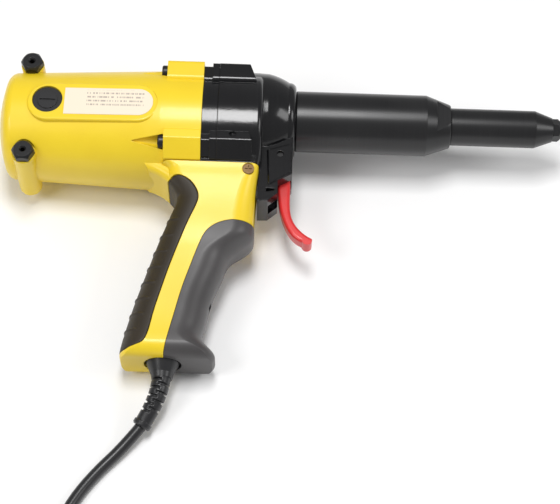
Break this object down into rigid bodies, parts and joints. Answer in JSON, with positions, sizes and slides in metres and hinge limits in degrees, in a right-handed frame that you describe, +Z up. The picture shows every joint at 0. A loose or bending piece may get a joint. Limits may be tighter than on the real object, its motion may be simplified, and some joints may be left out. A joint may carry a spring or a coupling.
{
  "type": "electric blind-rivet gun",
  "caption": "Corded electric blind-rivet gun with motor barrel, slanted pistol grip, curved trigger, long steel pull barrel, spare nosepieces and mains lead.",
  "frame": {"origin": "on the bench surface, under the middle of the tool without its cord, as it lies on its left side", "axes": "+X along the pull axis towards the nosepiece, +Y across the bench away from the handle's foot, +Z up off the bench, through the tool's right side; the tool leans 7.4 degrees about X so that its flank and the foot of its handle both rest"},
  "size_m": [0.4026, 0.4296, 0.0737],
  "materials": {
    "yellow_housing": "semi-gloss moulded nylon",
    "grip_rubber": "matte soft overmould",
    "grey_cover": "fine satin moulded nylon",
    "rating_label": "printed polyester label",
    "black_casting": "gloss black powder coat on die-cast alloy",
    "black_steel": "satin black oxide on steel",
    "black_screw": "black oxide socket screws",
    "zinc_screw": "yellow passivated zinc",
    "black_plastic": "moulded phenolic",
    "lamination": "stacked electrical steel",
    "copper": "enamelled copper wire",
    "fan_white": "white moulded nylon",
    "steel": "ground steel",
    "brass": "machined brass",
    "carbon": "electrographite",
    "bronze": "sintered bronze",
    "trigger_red": "semi-gloss moulded nylon",
    "switch_grey": "moulded nylon",
    "cord_black": "PVC sheath",
    "tie_black": "hook and loop strap"
  },
  "bodies": {
    "tool_body": {"motor_housing": "yellow_housing", "rear_grip_pad": "grip_rubber", "handle_cover": "grey_cover", "rating_label": "rating_label", "middle_plate": "black_casting", "gear_case": "black_casting", "housing_screws": "black_screw", "plate_screw": "zinc_screw", "handle_screws": "zinc_screw", "spare_nosepiece_upper": "black_steel", "spare_nosepiece_lower": "black_steel", "stator_core": "lamination", "stator_coils": "copper", "rear_bearing": "steel", "front_bearing": "steel", "brush_cap_right": "black_plastic", "brush_cap_left": "black_plastic", "brush_holder_right": "brass", "brush_holder_left": "brass", "carbon_brush_right": "carbon", "carbon_brush_left": "carbon", "brush_spring_right": "steel", "brush_spring_left": "steel", "idler_bushes": "bronze", "nut_bearing_rear": "steel", "nut_bearing_front": "steel", "guide_bush": "bronze", "barrel": "black_steel", "nose_sleeve": "black_steel", "nosepiece": "black_steel", "trigger_pin": "black_screw", "switch_body": "black_plastic", "gland": "cord_black", "strain_relief": "cord_black", "mains_cord": "cord_black", "cord_coil": "cord_black", "cord_tie": "tie_black", "plug_body": "cord_black", "plug_pins": "steel"},
    "rotor": {"armature_core": "lamination", "armature_windings": "copper", "commutator": "copper", "cooling_fan": "fan_white", "motor_shaft": "steel"},
    "idler": {"idler_gear": "steel", "idler_shaft": "steel"},
    "spindle_nut": {"drive_nut": "steel"},
    "pull_unit": {"pull_screw": "steel", "mandrel_tube": "steel", "jaw_lock_nut": "black_steel", "jaw_case": "black_steel", "jaw_pusher": "steel", "jaw_spring": "steel", "jaws": "steel"},
    "trigger_lever": {"trigger": "trigger_red"},
    "plunger": {"switch_plunger": "switch_grey"}
  },
  "joints": [
    {"name": "rotor_spin", "type": "hinge", "parent": "tool_body", "child": "rotor", "pos_m": [-0.09865, 0.05651, 0.0369], "axis": [1, 0, 0], "range_deg": [0, 14733.3]},
    {"name": "idler_spin", "type": "hinge", "parent": "tool_body", "child": "idler", "pos_m": [-0.02865, 0.04538, 0.02379], "axis": [1, 0, 0], "range_deg": [-3902, 0]},
    {"name": "nut_spin", "type": "hinge", "parent": "tool_body", "child": "spindle_nut", "pos_m": [-0.01865, 0.06642, 0.03818], "axis": [1, 0, 0], "range_deg": [0, 1201]},
    {"name": "pull_stroke", "type": "slide", "parent": "tool_body", "child": "pull_unit", "axis": [-1, 0, 0], "range_m": [0, 0.02005]},
    {"name": "trigger_pull", "type": "hinge", "parent": "tool_body", "child": "trigger_lever", "pos_m": [-0.00045, 0.03568, 0.0342], "axis": [0, 0.1283, -0.9917], "range_deg": [0, 12], "stiffness_Nm_per_rad": 0.5, "springref_deg": -5.73},
    {"name": "plunger_push", "type": "slide", "parent": "tool_body", "child": "plunger", "axis": [-1, 0, 0], "range_m": [0, 0.004]}
  ],
  "couplings": [
    {"joint": "idler_spin", "follows": "rotor_spin", "ratio": -0.26471},
    {"joint": "nut_spin", "follows": "rotor_spin", "ratio": 0.081448},
    {"joint": "pull_stroke", "follows": "rotor_spin", "m_per_rad": 0.000077777},
    {"joint": "plunger_push", "follows": "trigger_pull", "m_per_rad": 0.0188}
  ]
}
